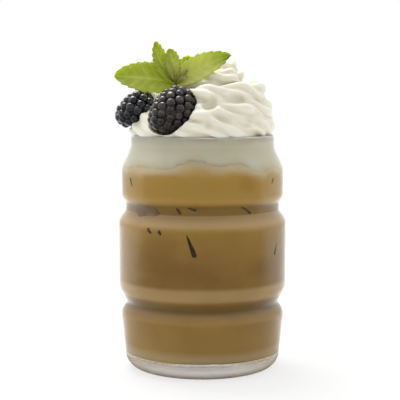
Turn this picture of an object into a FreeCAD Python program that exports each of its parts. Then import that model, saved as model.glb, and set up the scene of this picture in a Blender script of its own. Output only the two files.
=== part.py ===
import FreeCAD, Part
import math
import os

# Iced coffee in a barrel-shaped glass jar, topped with piped cream, two dark berries and a
# sprig of mint.  Millimetres, +Z up.  The origin is the centre of the foot ring, on the
# surface that the jar stands on, and -Y is the side where the front berry sits.

Vector = FreeCAD.Vector
UP = Vector(0, 0, 1)
os.makedirs("parts", exist_ok=True)

# ---- driving dimensions ----------------------------------------------------------------

# Jar: radii step in from the widest band, and heights stack up from the foot.
body_radius = 41.8
foot_inset = 3.9
lower_band_inset = 0.8
lower_groove_depth = 3.6
upper_groove_depth = 3.5
upper_band_inset = 1.6
neck_inset = 6.2
lower_band_height = 28.7
lower_groove_in = 4.2
lower_groove_floor = 1.3
lower_groove_out = 7.0
middle_band_height = 33.5
upper_groove_in = 4.3
upper_groove_floor = 4.9
upper_groove_out = 2.0
upper_band_height = 14.8
shoulder_height = 10.2
neck_height = 5.7
foot_round = 7.9
band_round = 6.5
groove_round = 3.4
shoulder_round = 9.0
foot_ring_width = 3.2
punt_height = 1.6
wall = 2.3
floor_thickness = 8.2
floor_round = 5.0
fill_clearance = 0.05
punt_round = 0.4
lip_round_share = 0.45

# Coffee line: the uneven surface where the cream floats, measured down from the rim.
line_drop = 14.6
line_swell = 2.5
line_swell_length = 80.0
line_ripple = 1.2
line_ripple_length = 22.0
line_ripple_turn = 0.35

# Cream: rings of a piped rope, one on the other, from the rim up to the peak.
ring_rise = (4.4, 16.0, 29.0, 35.0)
ring_step_in = (0.0, 6.4, 24.0, 32.6)
ring_rope = (8.6, 9.2, 6.2, 3.4)
ring_tilt = (0.6, 2.8, 1.0, 0.0)
ring_lean_right = (0.0, 3.0, 8.0, 14.6)
ring_lean_back = (0.0, 2.0, 4.0, 4.0)
lip_overhang = 0.7
swirl_height = 37.8
ring_softness = 0.6
ridge_count = 11
ridge_depth = 1.1
ridge_slant = 0.35
ridge_fade_reach = 14.0
dent_depth = 6.5
dent_heading = 215.0
dent_spread = 52.0
dent_fade_reach = 25.0

# Berries: an ovoid packed with round drupelets.
drupelet_radius = 2.35
drupelet_spacing = 3.9
drupelet_shrink = 0.08
berry_taper = 0.16
core_share = 0.75
seat_clearance = 0.12
seat_steps = (0.0, 4.0, 8.0, 12.0)
front_berry_length = 27.5
front_berry_width = 20.5
front_berry_across = 14.6
front_berry_from_rim = 12.6
front_berry_rise = 12.6
side_berry_length = 24.0
side_berry_width = 17.5
side_berry_from_rim = 2.8
side_berry_forward = 3.5
side_berry_rise = 12.8
front_berry_axis = Vector(-0.74, -0.25, -0.62)
side_berry_axis = Vector(-0.82, -0.22, -0.50)
front_berry_pushed_from = Vector(-0.20, -0.98, 0)
side_berry_pushed_from = Vector(-1, 0, 0)

# Mint: leaves on one stem, pushed into the cream behind the front berry.
stem_radius = 0.9
stem_depth = 16.0
node_radius = 1.6
sprig_right_of_berry = 1.6
sprig_behind_berry = 14.4
sprig_above_berry = 13.0
stem_lean = Vector(0.10, 0.12, -1)
leaf_thickness = 0.7
leaf_widest = 0.85
leaf_fullness = 0.68
tooth_depth = 0.8
teeth_per_side = 8

# ---- sizes that follow -----------------------------------------------------------------

rim_radius = body_radius - neck_inset
lower_groove_top = lower_band_height + lower_groove_in + lower_groove_floor + lower_groove_out
upper_groove_start = lower_groove_top + middle_band_height
upper_groove_top = upper_groove_start + upper_groove_in + upper_groove_floor + upper_groove_out
shoulder_start = upper_groove_top + upper_band_height
shoulder_end = shoulder_start + shoulder_height
jar_height = shoulder_end + neck_height
front_berry_centre = Vector(-front_berry_across, -(rim_radius - front_berry_from_rim),
                            jar_height + front_berry_rise)
side_berry_centre = Vector(-(rim_radius - side_berry_from_rim), -side_berry_forward,
                           jar_height + side_berry_rise)
front_berry = (front_berry_length, front_berry_width, front_berry_centre, front_berry_axis)
side_berry = (side_berry_length, side_berry_width, side_berry_centre, side_berry_axis)
sprig_base = front_berry_centre + Vector(sprig_right_of_berry, sprig_behind_berry, sprig_above_berry)


# ---- jar, and the space inside it ------------------------------------------------------

def rounded_edges(corners):
    """Open outline in the XZ plane through corners of (radius, height, rounding)."""
    points = [Vector(radius, 0, height) for radius, height, rounding in corners]
    spans = [points[i + 1] - points[i] for i in range(len(points) - 1)]
    turns = [0] + [spans[i - 1].getAngle(spans[i]) for i in range(1, len(spans))] + [0]
    reaches = [corner[2] * math.tan(turn / 2) for corner, turn in zip(corners, turns)]
    edges = []
    last = points[0]
    for i in range(1, len(points) - 1):
        room_before = spans[i - 1].Length / max(reaches[i - 1] + reaches[i], 1e-6)
        room_after = spans[i].Length / max(reaches[i] + reaches[i + 1], 1e-6)
        reach = reaches[i] * min(1, 0.98 * room_before, 0.98 * room_after)
        back = Vector(spans[i - 1]).normalize() * -1
        ahead = Vector(spans[i]).normalize()
        rounding = reach / math.tan(turns[i] / 2)
        bisector = (back + ahead).normalize()
        middle = points[i] + bisector * (rounding / math.cos(turns[i] / 2) - rounding)
        start = points[i] + back * reach
        end = points[i] + ahead * reach
        edges.append(Part.LineSegment(last, start).toShape())
        edges.append(Part.Arc(start, middle, end).toShape())
        last = end
    edges.append(Part.LineSegment(last, points[-1]).toShape())
    return edges


def turned(corners):
    """Solid of revolution about Z inside an outline that starts on the axis."""
    edges = rounded_edges(corners)
    top = Vector(corners[-1][0], 0, corners[-1][1])
    axis_top = Vector(0, 0, top.z)
    edges.append(Part.LineSegment(top, axis_top).toShape())
    edges.append(Part.LineSegment(axis_top, Vector(0, 0, corners[0][1])).toShape())
    return Part.Face(Part.Wire(edges)).revolve(Vector(0, 0, 0), UP, 360)


def side_corners(inset):
    """Bands, grooves and shoulder of the jar, moved in by the given distance."""
    lower_band = body_radius - lower_band_inset - inset
    lower_floor = body_radius - lower_groove_depth - inset
    middle_band = body_radius - inset
    upper_floor = body_radius - upper_groove_depth - inset
    upper_band = body_radius - upper_band_inset - inset
    lower_floor_start = lower_band_height + lower_groove_in
    upper_floor_start = upper_groove_start + upper_groove_in
    return [
        (lower_band, lower_band_height, band_round),
        (lower_floor, lower_floor_start, groove_round),
        (lower_floor, lower_floor_start + lower_groove_floor, groove_round),
        (middle_band, lower_groove_top, band_round),
        (middle_band, upper_groove_start, band_round),
        (upper_floor, upper_floor_start, groove_round),
        (upper_floor, upper_floor_start + upper_groove_floor, groove_round),
        (upper_band, upper_groove_top, band_round),
        (upper_band, shoulder_start, shoulder_round),
        (rim_radius - inset, shoulder_end, shoulder_round),
    ]


def inside(inset, top):
    """The jar's inside, from its floor up to a height, kept clear of the wall by inset."""
    floor = floor_thickness + inset - wall
    corners = [(0, floor, 0), (body_radius - foot_inset - inset, floor, floor_round)]
    return turned(corners + side_corners(inset) + [(rim_radius - inset, top, 0)])


def jar():
    foot_radius = body_radius - foot_inset
    punt_radius = foot_radius - foot_round - foot_ring_width
    corners = [
        (0, punt_height, 0),
        (punt_radius - punt_height, punt_height, punt_height),
        (punt_radius, 0, punt_round),
        (foot_radius, 0, foot_round),
    ]
    blank = turned(corners + side_corners(0) + [(rim_radius, jar_height, 0)])
    hollow = blank.cut(inside(wall, jar_height + wall))
    lip = [edge for edge in hollow.Edges if edge.BoundBox.ZMin > jar_height - 0.01]
    return hollow.makeFillet(lip_round_share * wall, lip)


# ---- coffee and cream ------------------------------------------------------------------

def above_coffee():
    """Everything above the coffee line: a wavy face drawn up past the rim."""
    half = 1.1 * body_radius
    steps = 20
    rows = []
    for i in range(steps + 1):
        x = half * (2 * i / steps - 1)
        row = []
        for j in range(steps + 1):
            y = half * (2 * j / steps - 1)
            swell = math.cos(2 * math.pi * x / line_swell_length) * math.cos(math.pi * y / (4 * half))
            ripple = math.sin(2 * math.pi * (x + line_ripple_turn * y) / line_ripple_length)
            row.append(Vector(x, y, jar_height - line_drop + line_swell * swell + line_ripple * ripple))
        rows.append(row)
    surface = Part.BSplineSurface()
    surface.interpolate(rows)
    return surface.toShape().extrude(UP * (2 * line_drop))


def between(values, place):
    """Straight interpolation in a tuple, held at its ends."""
    place = min(max(place, 0), len(values) - 1)
    step = min(int(place), len(values) - 2)
    return values[step] + (values[step + 1] - values[step]) * (place - step)


def ring_place(rise):
    """Which ring a height belongs to, as a fractional number."""
    for i in range(len(ring_rise) - 1):
        if rise < ring_rise[i + 1]:
            return i + max(0, (rise - ring_rise[i]) / (ring_rise[i + 1] - ring_rise[i]))
    return len(ring_rise) - 1


def swirl_reach(angle, rise):
    """Distance from the swirl's axis to its surface: soft rings, slanting ridges, one dent."""
    total = 0
    for i in range(len(ring_rise)):
        middle = ring_rise[i] + ring_tilt[i] * math.cos(angle - math.radians(dent_heading - 180))
        rope = ring_rope[i]
        offset = abs(rise - middle)
        reach = rim_radius + lip_overhang - ring_step_in[i] - rope
        if offset < rope:
            reach += math.sqrt(rope * rope - offset * offset)
        else:
            reach -= 2 * (offset - rope)
        total += math.exp(reach / ring_softness)
    reach = ring_softness * math.log(total)
    ridge = ridge_depth * math.cos(ridge_count * angle + ridge_slant * rise)
    ridge *= min(1, max(0, reach / ridge_fade_reach)) ** 2 * min(1, rise / ring_rise[0])
    aside = (math.degrees(angle) - dent_heading + 180) % 360 - 180
    dent = dent_depth * math.exp(-(aside / dent_spread) ** 2)
    dent *= min(1, max(0, (rise - ring_rise[0]) / ring_rise[0])) * min(1, reach / dent_fade_reach)
    below_peak = swirl_height - rise
    if below_peak > ring_rope[-1]:
        return reach + ridge - dent
    return min(reach + ridge - dent, math.sqrt(2 * ring_rope[-1] * below_peak))


def swirl():
    """The piped mound: a loft through level sections, closed at the peak."""
    points_round = 48
    levels = 30
    crowding = 1.6
    base = jar_height + fill_clearance
    sections = []
    for i in range(levels):
        rise = swirl_height * (1 - (1 - i / levels) ** crowding)
        place = ring_place(rise)
        axis = Vector(between(ring_lean_right, place), between(ring_lean_back, place), base + rise)
        ring = []
        for j in range(points_round):
            angle = 2 * math.pi * j / points_round
            reach = swirl_reach(angle, rise)
            ring.append(axis + Vector(reach * math.cos(angle), reach * math.sin(angle), 0))
        curve = Part.BSplineCurve()
        curve.interpolate(Points=ring, PeriodicFlag=True)
        sections.append(Part.Wire(curve.toShape()))
    peak = Vector(ring_lean_right[-1], ring_lean_back[-1], base + swirl_height)
    sections.append(Part.Vertex(peak))
    return Part.makeLoft(sections, True)


def coffee():
    return inside(wall + fill_clearance, jar_height).cut(above_coffee())


def cream():
    neck = inside(wall + fill_clearance, jar_height + fill_clearance).common(above_coffee())
    body = neck.fuse(swirl())
    rooms = berry_seat(*front_berry, front_berry_pushed_from)
    rooms += berry_seat(*side_berry, side_berry_pushed_from)
    for room in rooms:
        body = body.cut(room)
    return body.cut(stem(stem_radius + seat_clearance)).removeSplitter()


# ---- berries ---------------------------------------------------------------------------

def placed(centre, axis):
    return FreeCAD.Placement(centre, FreeCAD.Rotation(UP, axis))


def berry_seat(length, width, centre, axis, pushed_from):
    """Space that a berry leaves as it is pushed into the cream: its ovoid in a few places."""
    long_reach = length / 2 - drupelet_radius
    cross_reach = width / 2 - drupelet_radius
    skin = drupelet_radius + seat_clearance
    steps = 12
    points = []
    for i in range(steps + 1):
        angle = math.pi * i / steps
        across = cross_reach * (1 - berry_taper * math.cos(angle)) + skin
        points.append(Vector(across * math.sin(angle), 0, (long_reach + skin) * math.cos(angle)))
    points[-1].x = 0
    side = Part.BSplineCurve()
    side.interpolate(points)
    spine = Part.LineSegment(points[-1], points[0]).toShape()
    ovoid = Part.Face(Part.Wire([side.toShape(), spine])).revolve(Vector(0, 0, 0), UP, 360)
    rooms = []
    for step in seat_steps:
        room = ovoid.copy()
        room.Placement = placed(centre + pushed_from * step, axis)
        rooms.append(room)
    return rooms


def berry(length, width, centre, axis):
    """Drupelets at even spacing over an ovoid, on a core that fills the middle."""
    long_reach = length / 2 - drupelet_radius
    cross_reach = width / 2 - drupelet_radius
    skin_area = 4 * math.pi * cross_reach * (2 * long_reach + cross_reach) / 3
    bead_area = math.sqrt(3) / 2 * drupelet_spacing ** 2
    count = round(skin_area / bead_area)
    golden_turn = math.pi * (3 - math.sqrt(5))
    beads = []
    for i in range(count):
        level = 1 - (2 * i + 1) / count
        across = math.sqrt(1 - level * level) * cross_reach * (1 - berry_taper * level)
        angle = i * golden_turn
        spot = Vector(across * math.cos(angle), across * math.sin(angle), long_reach * level)
        pole = Vector(math.cos(angle + 1), math.sin(angle + 1), 0.4)
        bead = Part.makeSphere(drupelet_radius * (1 - drupelet_shrink * (i % 3)))
        bead.Placement = placed(spot, pole)
        beads.append(bead)
    core_steps = 5
    for i in range(core_steps):
        level = 1 - (2 * i + 1) / core_steps
        radius = math.sqrt(1 - 0.92 * level * level) * cross_reach * (1 - berry_taper * level)
        beads.append(Part.makeSphere(radius, Vector(0, 0, core_share * long_reach * level)))
    solid = beads[0].multiFuse(beads[1:])
    solid.Placement = placed(centre, axis)
    return solid


# ---- mint sprig ------------------------------------------------------------------------

def stem(radius):
    """Stem from the node down into the cream."""
    return Part.makeCylinder(radius, stem_depth, sprig_base, stem_lean)


def leaf_outline(length, width):
    """Toothed ovate outline, from the stalk to the point and back."""
    def half_width(share):
        return width / 2 * math.sin(math.pi * share ** leaf_widest) ** leaf_fullness

    pitch = 1 / (teeth_per_side + 0.6)
    side = [(-stem_radius, leaf_thickness)]
    for i in range(1, teeth_per_side + 1):
        notch = (i - 0.3) * pitch
        point = (i + 0.35) * pitch
        side.append((notch * length, half_width(notch)))
        side.append((point * length, half_width(point) + tooth_depth))
    outline = side + [(length, 0)] + [(x, -y) for x, y in reversed(side)]
    points = [Vector(x, y, 0) for x, y in outline]
    return Part.Face(Part.makePolygon(points + [points[0]]))


def leaf(tip, face, width, arch, cup):
    """Thin leaf from the node to its tip: arched along its length and cupped across it."""
    reach = tip - sprig_base
    length = reach.Length
    arch_radius = (length * length / 4 + arch * arch) / (2 * arch)
    cup_radius = (width * width / 4 + cup * cup) / (2 * cup)
    middle = Vector(length / 2, 0, arch + cup_radius)
    spread = math.asin(min(0.95, 0.62 * width / cup_radius))

    def cup_point(radius, angle):
        return middle + Vector(0, math.sin(angle), -math.cos(angle)) * radius

    inner = [cup_point(cup_radius, angle) for angle in (-spread, 0, spread)]
    outer = [cup_point(cup_radius + leaf_thickness, angle) for angle in (-spread, 0, spread)]
    section = Part.Face(Part.Wire([
        Part.Arc(*inner).toShape(),
        Part.LineSegment(inner[2], outer[2]).toShape(),
        Part.Arc(outer[2], outer[1], outer[0]).toShape(),
        Part.LineSegment(outer[0], inner[0]).toShape(),
    ]))
    swing = math.degrees(math.asin(length / 2 / arch_radius)) + 12
    pivot = Vector(length / 2, 0, arch - arch_radius)
    section.rotate(pivot, Vector(0, 1, 0), -swing)
    sheet = section.revolve(pivot, Vector(0, 1, 0), 2 * swing)
    prism = leaf_outline(length, width).extrude(UP * (4 * width))
    prism.translate(UP * (-2 * width))
    blade = sheet.common(prism)
    side = face.cross(reach)
    blade.Placement = FreeCAD.Placement(sprig_base, FreeCAD.Rotation(reach, side, face, "XZY"))
    return blade


def mint_sprig():
    """Six leaves, the stem and the node where they meet, as one piece."""
    leaves = [
        leaf(sprig_base + Vector(-30.0, -4.0, 3.4), Vector(0.05, -0.90, 0.42), 16.0, 2.2, 1.6),
        leaf(sprig_base + Vector(-10.4, 1.6, 20.6), Vector(0.45, -0.88, 0.10), 8.6, 1.6, 1.8),
        leaf(sprig_base + Vector(-3.6, 3.4, 16.4), Vector(0.25, -0.95, 0.10), 8.5, 1.6, 1.6),
        leaf(sprig_base + Vector(6.6, 2.0, 13.0), Vector(-0.35, -0.90, 0.30), 9.0, 1.4, 1.6),
        leaf(sprig_base + Vector(27.0, -5.0, 13.8), Vector(0.10, -0.86, 0.45), 13.0, 3.0, 1.8),
        leaf(sprig_base + Vector(6.0, -2.4, 6.4), Vector(-0.50, -0.70, 0.50), 4.6, 0.8, 0.9),
    ]
    sprig = Part.makeSphere(node_radius, sprig_base)
    for piece in [stem(stem_radius)] + leaves:
        sprig = sprig.fuse(piece)
    return sprig


# ---- write the nodes -------------------------------------------------------------------

nodes = {
    "jar": jar(),
    "coffee": coffee(),
    "cream": cream(),
    "bramble_front": berry(*front_berry),
    "bramble_side": berry(*side_berry),
    "mint_sprig": mint_sprig(),
}
for name, shape in nodes.items():
    solids = shape.Solids
    body = solids[0] if len(solids) == 1 else shape
    body.exportStep("parts/" + name + ".step")
    print(name, len(solids), round(body.Volume), body.isValid(), len(body.Faces))
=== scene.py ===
import math
import random

import bmesh
import bpy
from mathutils import Matrix, Vector, noise
from mathutils.bvhtree import BVHTree


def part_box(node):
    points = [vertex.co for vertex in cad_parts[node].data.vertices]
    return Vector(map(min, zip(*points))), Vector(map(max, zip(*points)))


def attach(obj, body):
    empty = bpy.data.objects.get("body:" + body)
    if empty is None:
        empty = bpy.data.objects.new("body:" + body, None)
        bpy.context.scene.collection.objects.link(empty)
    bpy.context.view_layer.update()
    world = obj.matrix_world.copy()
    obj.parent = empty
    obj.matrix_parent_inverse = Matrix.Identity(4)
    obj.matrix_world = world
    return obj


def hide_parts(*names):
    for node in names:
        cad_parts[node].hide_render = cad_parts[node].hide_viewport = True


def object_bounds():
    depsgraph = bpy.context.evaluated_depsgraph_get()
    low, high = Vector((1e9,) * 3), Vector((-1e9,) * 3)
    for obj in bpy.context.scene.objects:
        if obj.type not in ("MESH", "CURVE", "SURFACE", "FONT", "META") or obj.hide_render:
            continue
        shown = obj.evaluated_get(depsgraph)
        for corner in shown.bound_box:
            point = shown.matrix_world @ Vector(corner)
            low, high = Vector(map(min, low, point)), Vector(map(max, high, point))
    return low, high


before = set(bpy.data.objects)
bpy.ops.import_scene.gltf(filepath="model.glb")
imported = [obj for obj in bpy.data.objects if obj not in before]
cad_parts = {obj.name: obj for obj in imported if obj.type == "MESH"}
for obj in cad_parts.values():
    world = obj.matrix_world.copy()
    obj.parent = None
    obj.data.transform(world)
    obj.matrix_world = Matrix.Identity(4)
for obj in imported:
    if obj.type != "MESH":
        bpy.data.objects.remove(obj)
cad_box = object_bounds()

# ---- The jar ---------------------------------------------------------------------------
# A pressed jar of clear glass with three bands, two grooves, a short neck and a thick
# base.  Its solid is already the real shape, so it only takes its finish here.

MM = 0.001


class Amount:
    """A number that changes over a surface: sums on it become Math nodes."""

    def __init__(self, look, socket):
        self.look = look
        self.socket = socket

    def _sum(self, operation, first, second):
        node = self.look.add("ShaderNodeMath", {"operation": operation}, {0: first, 1: second})
        return Amount(self.look, node.outputs[0])

    def __add__(self, other):
        return self._sum("ADD", self, other)

    def __radd__(self, other):
        return self._sum("ADD", other, self)

    def __sub__(self, other):
        return self._sum("SUBTRACT", self, other)

    def __rsub__(self, other):
        return self._sum("SUBTRACT", other, self)

    def __mul__(self, other):
        return self._sum("MULTIPLY", self, other)

    def __rmul__(self, other):
        return self._sum("MULTIPLY", other, self)

    def sine(self):
        return self._sum("SINE", self, 0.0)

    def cosine(self):
        return self._sum("COSINE", self, 0.0)


class Look:
    """The finish of one material or of the surround: its nodes and its main shader."""

    def __init__(self, holder, **fixed):
        self.holder = holder
        holder.use_nodes = True
        self.tree = holder.node_tree
        self.surface = next(n for n in self.tree.nodes if n.type in ("BSDF_PRINCIPLED", "BACKGROUND"))
        self.feed(**fixed)

    def plug(self, socket, value):
        if isinstance(value, Amount):
            value = value.socket
        if isinstance(value, bpy.types.NodeSocket):
            self.tree.links.new(value, socket)
        elif socket.type == "RGBA":
            socket.default_value = (*value, 1)
        else:
            socket.default_value = value

    def feed(self, **sockets):
        """Values or links for sockets of the main shader."""
        for key, value in sockets.items():
            self.plug(self.surface.inputs[key.replace("_", " ")], value)

    def add(self, kind, settings, sockets):
        """One node: its settings first, then a value or a link for each socket."""
        node = self.tree.nodes.new(kind)
        for key, value in settings.items():
            setattr(node, key, value)
        for key, value in sockets.items():
            self.plug(node.inputs[key], value)
        return node

    def place(self):
        """Where on the piece, in its own coordinates."""
        return self.add("ShaderNodeTexCoord", {}, {}).outputs["Object"]

    def axis(self, index, where=None):
        """How far right (0), back (1) or up (2)."""
        parts = self.add("ShaderNodeSeparateXYZ", {}, {0: where or self.place()})
        return Amount(self, parts.outputs[index])

    def attribute(self, name):
        """A number kept with the mesh's corners."""
        node = self.add("ShaderNodeAttribute", {"attribute_name": name}, {})
        return Amount(self, node.outputs["Fac"])

    def speckle(self, scale, detail=2.0, stretch=(1, 1, 1)):
        """Cloudy noise, around 0.5."""
        where = self.add("ShaderNodeVectorMath", {"operation": "MULTIPLY"},
                         {0: self.place(), 1: stretch}).outputs[0]
        node = self.add("ShaderNodeTexNoise", {}, {"Vector": where, "Scale": scale, "Detail": detail})
        return Amount(self, node.outputs["Fac"])

    def span(self, amount, low, high, bottom=0.0, top=1.0):
        """From bottom, where the amount is low, smoothly to top, where it is high."""
        node = self.add("ShaderNodeMapRange", {"interpolation_type": "SMOOTHSTEP"}, {
            "Value": amount, "From Min": low, "From Max": high, "To Min": bottom, "To Max": top})
        return Amount(self, node.outputs["Result"])

    def blend(self, share, first, second):
        """From the first colour, at a share of 0, to the second, at 1."""
        node = self.add("ShaderNodeMix", {"data_type": "RGBA"}, {"Factor": share})
        self.plug(node.inputs[6], first)
        self.plug(node.inputs[7], second)
        return node.outputs[2]

    def bump(self, height, depth, strength):
        """A normal that tilts as if the surface rose and fell by up to a depth."""
        node = self.add("ShaderNodeBump", {}, {
            "Height": height, "Distance": depth, "Strength": strength})
        return node.outputs["Normal"]


faint_green = (0.975, 0.985, 0.975)
glass = Look(bpy.data.materials.new("jar_glass"), Base_Color=faint_green, IOR=1.5,
             Transmission_Weight=1.0)
dull_foot = glass.span(glass.axis(2), 6.0 * MM, 9.0 * MM, 1.0, 0.0)
pressed_waves = glass.bump(glass.speckle(45, 1.0), 0.25 * MM, 0.3)
glass.feed(Roughness=0.012 + 0.45 * dull_foot, Normal=pressed_waves)
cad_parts["jar"].material_slots[0].material = glass.holder
rim_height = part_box("jar")[1].z


# ---- The coffee ------------------------------------------------------------------------
# Milk coffee, cloudy and a little see-through, filling the jar from its floor up to the
# uneven line where the cream floats.  It reaches just into the wall, so no air shows.

weld = 0.002 * MM
# A face whose normal stands at least this upright belongs to an end of the solid.
end_upright = 0.8


def from_solid(node, depth):
    """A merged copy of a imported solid, its side and its level ends pushed out by a depth."""
    bm = bmesh.new()
    bm.from_mesh(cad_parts[node].data)
    bmesh.ops.remove_doubles(bm, verts=bm.verts, dist=weld)
    bmesh.ops.recalc_face_normals(bm, faces=bm.faces)
    bm.normal_update()
    pushes = []
    for vert in bm.verts:
        side = Vector()
        end = Vector()
        for face in vert.link_faces:
            if abs(face.normal.z) < end_upright:
                side += face.normal
            else:
                end += face.normal
        pushes.append(side.normalized() + end.normalized())
    for vert, push in zip(bm.verts, pushes):
        vert.co += push * depth
    return bm


def finish(bm, name, look, slot, *nodes):
    """The shaped mesh as a piece of the drink, riding on it and standing for its solids."""
    mesh = bpy.data.meshes.new(name)
    bm.to_mesh(mesh)
    bm.free()
    piece = bpy.data.objects.new(name, mesh)
    bpy.context.scene.collection.objects.link(piece)
    for face in mesh.polygons:
        face.use_smooth = True
    mesh.materials.append(look.holder)
    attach(piece, "root")
    if nodes:
        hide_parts(*nodes)
    return piece


line_height = rim_height - 14.6 * MM
swell_rise = 2.5 * MM
swell_length = 80 * MM
swell_fade = 368 * MM
ripple_rise = 1.2 * MM
ripple_length = 22 * MM
ripple_skew = 0.35
wisp_rise = 6 * MM
# How far over and under the line the coffee and the milk run into each other.
bleed = (-4.5 * MM, 6.0 * MM)


def under_line(look):
    """How far under the wavy line between coffee and cream, the solids' line and its wisps."""
    x, y, z = look.axis(0), look.axis(1), look.axis(2)
    swell = (x * (2 * math.pi / swell_length)).cosine() * (y * (2 * math.pi / swell_fade)).cosine()
    ripple = ((x + ripple_skew * y) * (2 * math.pi / ripple_length)).sine()
    wisp = look.speckle(75, 2.0, (1, 1, 1.8)) - 0.5
    return line_height + swell_rise * swell + ripple_rise * ripple + wisp_rise * wisp - z


coffee_look = Look(bpy.data.materials.new("coffee"), Roughness=0.35, IOR=1.35,
                   Subsurface_Weight=0.25, Subsurface_Scale=0.003,
                   Subsurface_Radius=(1.0, 0.62, 0.30))
height = coffee_look.axis(2)


def band(low, high, soft_low, soft_high):
    """1 between two heights in mm, with a soft edge of its own at each."""
    rise = coffee_look.span(height, (low - soft_low) * MM, (low + soft_low) * MM)
    return rise * coffee_look.span(height, (high - soft_high) * MM, (high + soft_high) * MM, 1.0, 0.0)


# The body of the drink: cloudy, lighter near the cream and near the floor, amber in places.
cloud = coffee_look.span(coffee_look.speckle(38, 3.0, (1, 1, 1.4)), 0.35, 0.65)
near_top = coffee_look.span(height, 52 * MM, 92 * MM)
near_floor = coffee_look.span(height, 46 * MM, 16 * MM)
amber_cloud = coffee_look.span(coffee_look.speckle(52, 1.0), 0.60, 0.72) * near_top
tan = coffee_look.blend(cloud, (0.38, 0.200, 0.021), (0.49, 0.275, 0.040))
tan = coffee_look.blend(near_top, tan, (0.68, 0.42, 0.075))
tan = coffee_look.blend(near_floor * 0.7, tan, (0.62, 0.385, 0.085))
tan = coffee_look.blend(amber_cloud * 0.5, tan, (0.60, 0.29, 0.030))

# Where the wall turns: painted shade in the two grooves, painted light where the middle band slopes
# to them, and lighter just over the thick base.
groove_painted_shade = band(79.6, 85.2, 0.4, 1.6) + band(32.0, 37.6, 1.4, 1.4)
slope_painted_light = band(73.6, 79.4, 1.2, 0.4) + band(38.8, 44.6, 1.0, 1.4)
on_base = coffee_look.span(height, 10 * MM, 15 * MM, 0.9, 0.0)
tan = coffee_look.blend(groove_painted_shade * 0.45, tan, (0.16, 0.075, 0.006))
tan = coffee_look.blend(slope_painted_light * 0.6, tan, (0.80, 0.56, 0.26))
tan = coffee_look.blend(on_base, tan, (0.75, 0.56, 0.28))

milk = (0.96, 0.91, 0.70)
by_cream = coffee_look.span(under_line(coffee_look), *bleed, 1.0, 0.0)
coffee_look.feed(Base_Color=coffee_look.blend(by_cream, tan, milk))

bm = from_solid("coffee", 0.25 * MM)
coffee_fill = finish(bm, "coffee_fill", coffee_look, "coffee", "coffee")
coffee_fill.data.set_sharp_from_angle(angle=math.radians(40))


# ---- The ice ---------------------------------------------------------------------------
# Clear cubes sunk in the coffee.  Where a worn edge or corner leans on the glass, the eye
# looks through it into the dark of the drink.

ice_size = 13 * MM
ice_wear = 1.3 * MM
ice_index = 1.31


def ice_finish(name, dark, light, roughness, shine, grain=260, detail=2.0, worn=0.70):
    """Ice seen through coffee: two colours in a cloudy grain, hardly shiny."""
    look = Look(bpy.data.materials.new(name), Roughness=roughness, IOR=ice_index,
                Specular_IOR_Level=shine)
    melt = look.span(look.speckle(grain, detail), 0.35, worn)
    look.feed(Base_Color=look.blend(melt, dark, light))
    return look


clear_ice = ice_finish("ice", (0.030, 0.013, 0.002), (0.085, 0.043, 0.009), 0.45, 0.15)
sunk_ice = ice_finish("ice_sunk", (0.075, 0.035, 0.006), (0.19, 0.105, 0.028), 0.50, 0.10)
frosted_ice = ice_finish("ice_face", (0.27, 0.165, 0.06), (0.40, 0.27, 0.12), 0.35, 0.50,
                         grain=150, detail=3.0, worn=0.65)


def ice(name, look, heading, height, reach, lean, fall, down=False, flat=False):
    """A cube with one worn edge, or one flat face, up against the glass.  The edge starts from
    a corner at a heading in degrees, a height and a distance from the axis in mm, and goes up
    or down; it leans sideways and falls away inwards by so much for each mm of height."""
    turn = Matrix.Rotation(math.radians(heading), 3, "Z")
    along = (turn @ Vector((-fall, lean, -1 if down else 1))).normalized()
    out = turn @ Vector((1, 0, 0))
    side = along.cross(out).normalized()
    inward = side.cross(along)
    if inward.dot(out) > 0:
        inward.negate()
    first = inward if flat else (inward + side).normalized()
    corner = Matrix((first, along.cross(first), along)).transposed().to_4x4()
    corner.translation = out * reach * MM + Vector((0, 0, height * MM))
    half = ice_size / 2
    bm = bmesh.new()
    bmesh.ops.create_cube(bm, size=ice_size)
    bmesh.ops.translate(bm, verts=bm.verts, vec=(half, 0 if flat else half, half))
    bmesh.ops.bevel(bm, geom=bm.edges[:], offset=ice_wear, segments=4, profile=0.5,
                    affect="EDGES", material=-1)
    bmesh.ops.transform(bm, matrix=corner, verts=bm.verts)
    bmesh.ops.recalc_face_normals(bm, faces=bm.faces)
    finish(bm, name, look, "coffee")


ice("ice_front", clear_ice, 265.0, 60.4, 40.95, -0.36, 0.083)
ice("ice_right", clear_ice, 328.5, 58.8, 40.60, 0.40, 0.070)
ice("ice_groove_1", sunk_ice, 198.0, 80.6, 36.90, 0.50, 0.12)
ice("ice_groove_2", frosted_ice, 229.5, 76.0, 36.62, -0.75, 0.00, flat=True)
ice("ice_groove_3", sunk_ice, 223.0, 83.6, 36.90, -1.50, 0.20)
ice("ice_groove_4", sunk_ice, 254.0, 80.1, 37.15, -0.60, 0.10)
ice("ice_groove_5", sunk_ice, 266.0, 82.2, 37.10, -2.20, 0.18)
ice("ice_groove_6", sunk_ice, 309.0, 79.9, 37.00, -1.30, 0.10)
ice("ice_shoulder_1", sunk_ice, 229.5, 73.2, 40.80, 1.00, 0.26, down=True)
ice("ice_shoulder_2", sunk_ice, 238.5, 72.7, 40.80, 0.80, 0.26, down=True)
ice("ice_neck_1", sunk_ice, 206.5, 96.8, 39.05, 0.50, 0.10, down=True)
ice("ice_neck_2", sunk_ice, 331.0, 96.8, 39.00, -0.50, 0.12, down=True)
for i in range(7):
    lean = 0.9 * math.cos(2.3 * i)
    ice(f"ice_back_{i + 1}", sunk_ice, 345.0 + 31 * i, 79.8 + 0.6 * (i % 3), 37.15, lean, 0.12)


# ---- The cream -------------------------------------------------------------------------
# Whipped cream piped from a star nozzle: it fills the neck of the jar, then goes round in
# narrowing rings up to a peak.  The berries are pressed into it.

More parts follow.
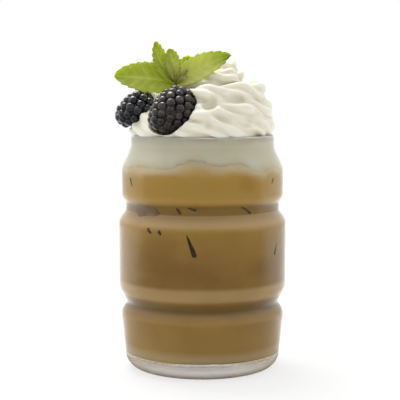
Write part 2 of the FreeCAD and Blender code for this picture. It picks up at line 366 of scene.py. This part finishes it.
cream_look = Look(bpy.data.materials.new("cream"), Roughness=0.42, IOR=1.38,
                  Subsurface_Weight=0.45, Subsurface_Scale=0.003,
                  Subsurface_Radius=(1.0, 0.85, 0.55))
# Painted shade: the cream turns darker and yellower the deeper a spot lies in a fold.
fold_painted_shade = cream_look.span(cream_look.attribute("fold"), -0.6 * MM, 1.5 * MM)
whipped_with_painted_shade = cream_look.blend(fold_painted_shade, (0.83, 0.805, 0.69), (0.68, 0.64, 0.44))
# The neck's cream, the same cream as the swirl, is painted lighter and yellower: painted light on the
# cream behind the glass.
thick = cream_look.span(cream_look.speckle(34, 2.0), 0.35, 0.65)
neck_cream = cream_look.blend(thick, (0.95, 0.87, 0.62), (0.99, 0.935, 0.735))
by_coffee = cream_look.span(under_line(cream_look), *bleed)
neck_cream = cream_look.blend(by_coffee, neck_cream, (0.66, 0.40, 0.08))
in_neck = cream_look.span(cream_look.axis(2), rim_height - 5 * MM, rim_height, 1.0, 0.0)
airy = cream_look.bump(cream_look.speckle(420, 4.0), 0.15 * MM, 0.3)
cream_look.feed(Base_Color=cream_look.blend(in_neck, whipped_with_painted_shade, neck_cream), Normal=airy)

# The cream in the neck: its solid, cut off level with the rim and closed there.
bm = from_solid("cream", 0.28 * MM)
cut = bmesh.ops.bisect_plane(bm, geom=bm.verts[:] + bm.edges[:] + bm.faces[:], dist=1e-7,
                             plane_co=(0, 0, rim_height), plane_no=(0, 0, 1), clear_outer=True)
rim_edges = [item for item in cut["geom_cut"] if isinstance(item, bmesh.types.BMEdge)]
bmesh.ops.contextual_create(bm, geom=rim_edges)
bmesh.ops.triangulate(bm, faces=[face for face in bm.faces if len(face.verts) > 4])
cream_neck = finish(bm, "cream_neck", cream_look, "cream", "cream")
cream_neck.data.set_sharp_from_angle(angle=math.radians(40))

# The piped rope.  Each ring, in mm: height of the rope's middle over the rim, how far out
# the rope reaches, the rope's own radius, and how far its centre leans right and back.
rings = [
    (2.6, 36.2, 5.6, 0.0, 0.0),
    (4.4, 36.4, 6.0, 0.0, 0.0),
    (12.6, 33.2, 6.4, 1.2, 0.6),
    (20.6, 28.6, 6.4, 3.0, 2.0),
    (28.6, 13.0, 5.6, 8.0, 3.4),
    (35.6, 3.0, 2.6, 14.6, 4.0),
]
nozzle_points = 5
nozzle_depth = 0.30
rope_sides = 40
least_turn = 0.5 * MM
steps_per_turn = 110
first_heading = 0.6
ridge_slant = 0.62
waves_per_turn = 8
wave_drift = 0.7
wave_out = 0.10
wave_up = 0.12


def ring_at(turn):
    """The rope's height, reach, radius and lean part of the way from one ring to the next."""
    lower = min(int(turn), len(rings) - 2)
    share = turn - lower
    share = share * share * (3 - 2 * share)
    return [(a + (b - a) * share) * MM for a, b in zip(rings[lower], rings[lower + 1])]


bm = bmesh.new()
nozzle = bmesh.ops.create_circle(bm, cap_ends=True, segments=rope_sides, radius=1.0)["verts"]
for vert in nozzle:
    angle = math.atan2(vert.co.y, vert.co.x)
    vert.co *= 1 - nozzle_depth * abs(math.sin(nozzle_points / 2 * angle)) ** 4
front = bm.edges[:]
last = Matrix()
twist = 0.0
for step in range(int((len(rings) - 1) * steps_per_turn)):
    turn = step / steps_per_turn
    rise, reach, rope, lean_right, lean_back = ring_at(turn)
    angle = 2 * math.pi * turn + first_heading
    wave = math.sin(waves_per_turn * angle + wave_drift * turn)
    radius = max(reach - rope + wave_out * rope * wave, least_turn)
    out = Vector((math.cos(angle), math.sin(angle), 0))
    along = Vector((-math.sin(angle), math.cos(angle), 0))
    twist += ridge_slant * 2 * math.pi / steps_per_turn * max(radius / rope, 1.0)
    centre = Vector((lean_right, lean_back, rim_height + rise + wave_up * rope * wave)) + out * radius
    here = Matrix((out, along.cross(out), along)).transposed().to_4x4()
    here.translation = centre
    here = here @ Matrix.Rotation(twist, 4, "Z") @ Matrix.Scale(rope, 4)
    if step:
        grown = bmesh.ops.extrude_edge_only(bm, edges=front)["geom"]
        nozzle = [item for item in grown if isinstance(item, bmesh.types.BMVert)]
        front = [item for item in grown if isinstance(item, bmesh.types.BMEdge)
                 and len(item.link_faces) == 1]
    bmesh.ops.transform(bm, matrix=here @ last.inverted(), verts=nozzle)
    last = here
bmesh.ops.contextual_create(bm, geom=front)

# The cream inside the rings.
core_foot = 32 * MM
core_top = 8 * MM
core_rise = 33 * MM
core_middle = (2 * MM, 2 * MM, rim_height + 14 * MM)
core = bmesh.ops.create_cone(bm, cap_ends=True, segments=48, radius1=core_foot, radius2=core_top,
                             depth=core_rise)["verts"]
bmesh.ops.translate(bm, verts=core, vec=core_middle)
bmesh.ops.recalc_face_normals(bm, faces=bm.faces)


def reshaped(bm, *modifiers):
    """The mesh after a stack of modifiers, each given as its type and settings."""
    mesh = bpy.data.meshes.new("shaping")
    bm.to_mesh(mesh)
    bm.free()
    piece = bpy.data.objects.new("shaping", mesh)
    bpy.context.scene.collection.objects.link(piece)
    for kind, settings in modifiers:
        modifier = piece.modifiers.new(kind, kind)
        for key, value in settings.items():
            setattr(modifier, key, value)
    done = bpy.data.meshes.new_from_object(piece.evaluated_get(bpy.context.evaluated_depsgraph_get()))
    shaped = bmesh.new()
    shaped.from_mesh(done)
    bpy.data.objects.remove(piece)
    bpy.data.meshes.remove(mesh)
    bpy.data.meshes.remove(done)
    return shaped


def berry_place(centre, axis, length, width):
    """From a unit ball to a berry's place, heading and size."""
    turn = Vector((0, 0, 1)).rotation_difference(axis).to_matrix().to_4x4()
    return Matrix.Translation(centre) @ turn @ Matrix.Diagonal((width / 2, width / 2, length / 2, 1))


# Each berry, and the dip between the two: centre, axis, length and width.
front_berry = (Vector((-14.6, -23.0, 129.2)) * MM, Vector((-0.74, -0.25, -0.62)), 27.5 * MM, 20.5 * MM)
side_berry = (Vector((-32.8, -3.5, 129.4)) * MM, Vector((-0.82, -0.22, -0.50)), 24.0 * MM, 17.5 * MM)
dip = (Vector((-25.0, -11.0, 137.0)) * MM, Vector((-0.8, -0.2, -0.5)), 18.0 * MM, 12.0 * MM)
press_share = 0.96


def press(bm, berry, push):
    """Cream in a berry's way moves along the push, to the far side of the berry."""
    to_ball = (berry_place(*berry) @ Matrix.Scale(press_share, 4)).inverted()
    unit_push = to_ball.to_3x3() @ push
    stretch = unit_push.length
    unit_push.normalize()
    for vert in bm.verts:
        place = to_ball @ vert.co
        along = place.dot(unit_push)
        aside = (place - unit_push * along).length
        if aside < 1 and -3 < along < math.sqrt(1 - aside * aside):
            vert.co += push * ((math.sqrt(1 - aside * aside) - along) / stretch)


def stroke(bm, skin, heading, height, length, width, rise, deep):
    """A soft hollow pressed into the cream's skin at a heading and a height, if there is cream
    that high.  It has a length and a width, rises sideways by some degrees and has a depth."""
    out = Matrix.Rotation(math.radians(heading), 3, "Z") @ Vector((1, 0, 0))
    side = Vector((-out.y, out.x, 0))
    spot = skin.ray_cast(Vector((0, 0, height * MM)) + 0.1 * out, -out)[0]
    if spot is None:
        return
    slope = math.radians(rise)
    axis = side * math.cos(slope) + Vector((0, 0, math.sin(slope)))
    centre = spot + out * (width / 2 - deep) * MM
    press(bm, (centre, axis, length * MM, width * MM), -out)


# Soft hollows between the ridges: heading in degrees, height, length and width in mm, rise in
# degrees, and depth in mm.  The first list is repeated further round at each quarter.
quarters = (0, 84, 161, 232)
hollows = [
    (302.0, 135.4, 13.0, 6.5, -12, 1.3),
    (321.0, 129.2, 14.0, 6.5, -15, 1.3),
    (301.5, 123.8, 14.0, 6.0, -16, 1.4),
    (286.0, 147.4, 9.0, 3.5, -10, 0.8),
]
front_hollows = [
    (278.5, 133.6, 12.0, 7.5, 40, 0.9),
    (273.0, 124.6, 11.0, 6.5, -55, 0.8),
    (294.0, 139.6, 14.0, 7.5, 12, 0.5),
]
bm = reshaped(bm, ("REMESH", {"mode": "VOXEL", "voxel_size": 0.6 * MM}))
skin = BVHTree.FromBMesh(bm)
for quarter in quarters:
    for heading, *shape in hollows:
        stroke(bm, skin, heading + quarter, *shape)
for place in front_hollows:
    stroke(bm, skin, *place)
press(bm, front_berry, Vector((0.20, 0.98, -0.05)))
press(bm, side_berry, Vector((0.95, 0.10, -0.30)))
press(bm, dip, Vector((0.10, 0.88, -0.45)))

# Closed to one smooth skin, a little lumpy, that rests on the rim.
lump_rise = 1.3 * MM
lump_length = 11 * MM
rim_gap = 0.06 * MM
bm = reshaped(bm, ("REMESH", {"mode": "VOXEL", "voxel_size": 0.5 * MM}),
              ("SMOOTH", {"factor": 0.5, "iterations": 8}))
for vert in bm.verts:
    vert.co += vert.normal * lump_rise * noise.noise(vert.co / lump_length)
    vert.co.z = max(vert.co.z, rim_height + rim_gap)

# How deep each spot lies in a fold, for the painted shade in the hollows.
fold = bm.verts.layers.float.new("fold")
bm.normal_update()
evened = reshaped(bm.copy(), ("SMOOTH", {"factor": 0.5, "iterations": 120}))
for vert, even in zip(bm.verts, evened.verts):
    vert[fold] = (even.co - vert.co).dot(vert.normal)
evened.free()
finish(bm, "cream_swirl", cream_look, "cream", "cream")


# ---- The berries -----------------------------------------------------------------------
# Two ripe dark berries.  Each is a cluster of tight, shiny drupelets on a core, every one
# with a small dimple at its tip.

drupelet_radius = 2.35 * MM
drupelet_spacing = 3.9 * MM
berry_taper = 0.16
tip_dimple = 0.12


def berry_skin(name, dark, bloom_colour):
    """A glossy dark skin with a paler, duller bloom in patches."""
    look = Look(bpy.data.materials.new(name), IOR=1.45, Coat_Weight=0.7, Coat_Roughness=0.10)
    bloom = look.span(look.speckle(240, 3.0), 0.45, 0.75)
    look.feed(Base_Color=look.blend(bloom, dark, bloom_colour), Roughness=0.25 + 0.25 * bloom)
    return look


def berry(name, shape, node, look, seed):
    """Drupelets wound at even spacing over an ovoid, each a little different in size."""
    draw = random.Random(seed)
    centre, axis, length, width = shape
    long_reach = length / 2 - drupelet_radius
    cross_reach = width / 2 - drupelet_radius
    skin_area = 4 * math.pi * cross_reach * (2 * long_reach + cross_reach) / 3
    bead_area = math.sqrt(3) / 2 * drupelet_spacing ** 2
    count = round(skin_area / bead_area)
    golden_turn = math.pi * (3 - math.sqrt(5))
    bm = bmesh.new()
    for i in range(count):
        level = 1 - (2 * i + 1) / count
        across = math.sqrt(1 - level * level) * cross_reach * (1 - berry_taper * level)
        angle = i * golden_turn + draw.uniform(-0.06, 0.06)
        spot = Vector((across * math.cos(angle), across * math.sin(angle), long_reach * level))
        outward = Vector((spot.x / cross_reach, spot.y / cross_reach, spot.z / long_reach))
        turn = Vector((0, 0, 1)).rotation_difference(outward).to_matrix().to_4x4()
        radius = drupelet_radius * draw.uniform(0.88, 1.06)
        grow = Matrix.Diagonal((radius, radius, radius * draw.uniform(0.95, 1.12), 1))
        bead = bmesh.ops.create_icosphere(bm, subdivisions=3, radius=1.0)["verts"]
        for vert in bead:
            vert.co *= 1 - tip_dimple * max(0, vert.co.z) ** 20
        bmesh.ops.transform(bm, matrix=Matrix.Translation(spot) @ turn @ grow, verts=bead)
    core = bmesh.ops.create_icosphere(bm, subdivisions=3, radius=1.0)["verts"]
    ovoid = Matrix.Diagonal((cross_reach, cross_reach, long_reach, 1))
    bmesh.ops.transform(bm, matrix=ovoid, verts=core)
    turn = Vector((0, 0, 1)).rotation_difference(axis).to_matrix().to_4x4()
    bmesh.ops.transform(bm, matrix=Matrix.Translation(centre) @ turn, verts=bm.verts)
    finish(bm, name, look, "berry_skin", node)


brown_black = berry_skin("berry_front_skin", (0.011, 0.007, 0.006), (0.050, 0.040, 0.036))
blue_black = berry_skin("berry_side_skin", (0.007, 0.007, 0.013), (0.040, 0.040, 0.058))
berry("berry_front", front_berry, "bramble_front", brown_black, 4)
berry("berry_side", side_berry, "bramble_side", blue_black, 9)


# ---- The mint --------------------------------------------------------------------------
# A sprig of garden mint pushed into the cream behind the front berry: soft toothed leaves
# with sunk veins, on one short stem.

leaf_look = Look(bpy.data.materials.new("mint_leaf"), Roughness=0.5, IOR=1.4,
                 Subsurface_Weight=0.5, Subsurface_Scale=0.002,
                 Subsurface_Radius=(0.8, 1.0, 0.25))
mottle = leaf_look.span(leaf_look.speckle(180, 3.0), 0.3, 0.75)
flesh = leaf_look.blend(mottle, (0.225, 0.265, 0.009), (0.31, 0.34, 0.020))
# Painted light: leaf parts that lie in shade are lightened up to near their tips.
flesh = leaf_look.blend(leaf_look.attribute("painted_light"), flesh, (0.46, 0.47, 0.12))
flesh = leaf_look.blend(leaf_look.attribute("vein") * 0.6, flesh, (0.50, 0.53, 0.15))
flesh = leaf_look.blend(leaf_look.attribute("edge") * 0.5, flesh, (0.10, 0.15, 0.010))
leaf_look.feed(Base_Color=flesh, Normal=leaf_look.bump(leaf_look.speckle(900, 2.0), 0.08 * MM, 0.4))

sprig_base = front_berry[0] + Vector((1.6, 14.4, 13.0)) * MM
leaf_thickness = 0.4 * MM
least_half_width = 0.1 * MM
stalk_half_width = 0.5 * MM
tooth_depth = 0.8 * MM
vein_pairs = 6.5
vein_slant = 1.1
quilt_rise = 0.35 * MM
midrib_depth = 0.45 * MM
midrib_width = 0.10


def leaf(bm, tip, face, width, arch, cup, teeth=9, widest=0.85, fullness=0.66, sway=0.0,
         painted_light=0.0, dark=0.0):
    """One leaf from the node to its tip, arched along and cupped across, with a toothed edge.
    It may sway to one side, be lightened by painted light up to near its tip, and have a dark tip."""
    length = tip.length
    blade = bmesh.new()
    vein_layer = blade.verts.layers.float.new("vein")
    edge_layer = blade.verts.layers.float.new("edge")
    painted_light_layer = blade.verts.layers.float.new("painted_light")
    bmesh.ops.create_grid(blade, x_segments=96, y_segments=18, size=0.5)
    bmesh.ops.solidify(blade, geom=blade.verts[:] + blade.edges[:] + blade.faces[:], thickness=1.0)
    x_axis = tip.normalized()
    z_axis = (face - x_axis * face.dot(x_axis)).normalized()
    y_axis = z_axis.cross(x_axis)
    for vert in blade.verts:
        along = vert.co.x + 0.5
        across = 2 * vert.co.y
        middle = 4 * along * (1 - along)

        # The outline, with teeth that lean to the tip.
        half = 0.5 * width * max(0.0, math.sin(math.pi * along ** widest)) ** fullness
        half = max(half, stalk_half_width * (1 - along) + least_half_width)
        tooth = (along * teeth) % 1.0
        bite = tooth_depth * (tooth - 0.3) * min(1, 8 * along) * min(1, 12 * (1 - along))
        half += bite * abs(across) ** 8

        # The veins, between which the leaf is quilted.
        veins = (along * vein_pairs - abs(across) * vein_slant) % 1.0
        quilt = math.sin(math.pi * veins) ** 0.6
        shallow = 1 - abs(across) ** 4
        midrib = math.exp(-(across / midrib_width) ** 2)
        vert[vein_layer] = max(midrib, 0.75 * (1 - quilt) ** 2 * shallow)
        vert[edge_layer] = max(0, abs(across) - 0.8) * 5 * along + dark * max(0, along - 0.75) * 5
        vert[painted_light_layer] = painted_light * min(1, max(0, 3.4 - 4 * along))

        height = arch * middle + cup * across * across
        height += quilt_rise * quilt * shallow * math.sin(math.pi * along) - midrib_depth * midrib
        height += leaf_thickness * vert.co.z * (1 - 0.5 * abs(across) ** 6)
        aside = across * half + sway * middle
        vert.co = sprig_base + x_axis * along * length + y_axis * aside + z_axis * height
    bmesh.ops.recalc_face_normals(blade, faces=blade.faces)
    shaped = bpy.data.meshes.new("leaf")
    blade.to_mesh(shaped)
    blade.free()
    bm.from_mesh(shaped)
    bpy.data.meshes.remove(shaped)


bm = bmesh.new()
for layer in ("vein", "edge", "painted_light"):
    bm.verts.layers.float.new(layer)
leaf(bm, Vector((-30.0, -4.0, 3.4)) * MM, Vector((0.05, -0.90, 0.42)), 16.0 * MM, 2.2 * MM, 1.6 * MM,
     fullness=0.56, painted_light=0.15)
leaf(bm, Vector((-10.6, 1.6, 20.3)) * MM, Vector((0.45, -0.88, 0.10)), 8.8 * MM, 1.6 * MM, 1.8 * MM,
     sway=3.0 * MM, painted_light=0.1)
leaf(bm, Vector((-3.2, -1.2, 17.0)) * MM, Vector((0.15, -0.97, 0.15)), 7.2 * MM, 1.2 * MM, 1.2 * MM,
     widest=1.4, fullness=0.55, painted_light=0.5)
leaf(bm, Vector((7.4, 2.0, 13.0)) * MM, Vector((-0.35, -0.90, 0.30)), 6.6 * MM, 1.4 * MM, 1.6 * MM,
     widest=1.1, fullness=0.5, painted_light=0.8)
leaf(bm, Vector((27.0, -5.0, 13.6)) * MM, Vector((0.10, -0.86, 0.45)), 13.0 * MM, 3.0 * MM, 1.8 * MM,
     painted_light=0.8, dark=1.0)
leaf(bm, Vector((6.0, -2.4, 6.4)) * MM, Vector((-0.50, -0.70, 0.50)), 4.6 * MM, 0.8 * MM, 0.9 * MM, 5,
     painted_light=0.4)
finish(bm, "mint_leaves", leaf_look, "mint_leaf", "mint_sprig")

stem_radius = 0.9 * MM
stem_length = 16 * MM
bm = bmesh.new()
stem = bmesh.ops.create_cone(bm, cap_ends=True, segments=20, radius1=stem_radius,
                             radius2=stem_radius, depth=stem_length)["verts"]
down = Vector((0.10, 0.12, -1)).normalized()
turn = Vector((0, 0, 1)).rotation_difference(down).to_matrix().to_4x4()
middle = Matrix.Translation(sprig_base + down * stem_length / 2)
bmesh.ops.transform(bm, matrix=middle @ turn, verts=stem)
stem_look = Look(bpy.data.materials.new("mint_stem"), Roughness=0.5)
streaked = stem_look.blend(stem_look.speckle(300), (0.30, 0.36, 0.05), (0.42, 0.46, 0.10))
stem_look.feed(Base_Color=streaked)
finish(bm, "mint_stem", stem_look, "mint_leaf", "mint_sprig")


# ---- The studio ------------------------------------------------------------------------
# A pale floor that fades into a white surround, brighter behind the jar than in front, one
# soft lamp overhead, and a camera far back, a little above the rim.

floor_radius = 3.0
bm = bmesh.new()
bmesh.ops.create_circle(bm, cap_ends=True, segments=96, radius=floor_radius)
bmesh.ops.translate(bm, verts=bm.verts, vec=(0, 0, cad_box[0].z - 0.1 * MM))
mesh = bpy.data.meshes.new("floor")
bm.to_mesh(mesh)
bm.free()
floor = bpy.data.objects.new("floor", mesh)
bpy.context.scene.collection.objects.link(floor)


def background_share(look):
    """1 for rays that look straight at the background, also through glass, 0 for others."""
    rays = look.add("ShaderNodeLightPath", {}, {}).outputs
    straight = Amount(look, rays["Is Camera Ray"]) + Amount(look, rays["Is Transmission Ray"])
    bounces = Amount(look, rays["Diffuse Depth"]) + Amount(look, rays["Glossy Depth"])
    return straight * look.span(bounces, 0.0, 1.0, 1.0, 0.0)


# The floor in front is mirrored darker than it is, so that the glass above it stays clear.
floor_look = Look(bpy.data.materials.new("floor"), Roughness=0.8)
mirrors = Amount(floor_look, floor_look.add("ShaderNodeLightPath", {}, {}).outputs["Glossy Depth"])
in_front = floor_look.span(floor_look.axis(1), -0.10, 0.10, 1.0, 0.0)
mirrored = floor_look.span(mirrors, 0.0, 1.0) * in_front
floor_look.feed(Base_Color=floor_look.blend(mirrored, (0.9, 0.9, 0.9), (0.2, 0.2, 0.2)))

# Near the jar the floor keeps part of its shadow; farther out it is plain white.
from_jar = floor_look.add("ShaderNodeVectorMath", {"operation": "LENGTH"}, {0: floor_look.place()})
away = floor_look.span(from_jar.outputs["Value"], 0.10, 0.60, 0.72, 1.0)
white = floor_look.add("ShaderNodeEmission", {}, {"Color": (1, 1, 1), "Strength": 1.0})
mixed = floor_look.add("ShaderNodeMixShader", {}, {
    0: background_share(floor_look) * away, 1: floor_look.surface.outputs[0], 2: white.outputs[0]})
out = next(n for n in floor_look.tree.nodes if n.type == "OUTPUT_MATERIAL")
floor_look.plug(out.inputs["Surface"], mixed.outputs[0])
mesh.materials.append(floor_look.holder)

world = bpy.data.worlds.new("surround")
bpy.context.scene.world = world
surround = Look(world)
toward = surround.add("ShaderNodeTexCoord", {}, {}).outputs["Generated"]
tent = surround.span(surround.axis(1, toward), -1.0, 0.0, 0.60, 1.0)
straight = background_share(surround)
surround.feed(Color=(1, 1, 1), Strength=straight + (1 - straight) * tent)

lamp = bpy.data.objects.new("lamp_top", bpy.data.lights.new("lamp_top", "AREA"))
lamp.data.size = 0.5
lamp.data.energy = 6.0
lamp.location = (-0.20, 0.30, 0.90)
jar_middle = Vector((0, 0, 0.09))
lamp.rotation_euler = (jar_middle - lamp.location).to_track_quat("-Z", "Y").to_euler()
bpy.context.scene.collection.objects.link(lamp)

camera = bpy.data.objects.new("camera", bpy.data.cameras.new("camera"))
camera.data.sensor_width = 36.0
camera.data.lens = 108.0
camera.location = (-0.0012, -0.6, 0.14)
camera_dip = math.radians(5.33)
camera.rotation_euler = (math.pi / 2 - camera_dip, 0, 0)
bpy.context.scene.collection.objects.link(camera)
bpy.context.scene.camera = camera
bpy.context.scene.view_settings.view_transform = "Standard"
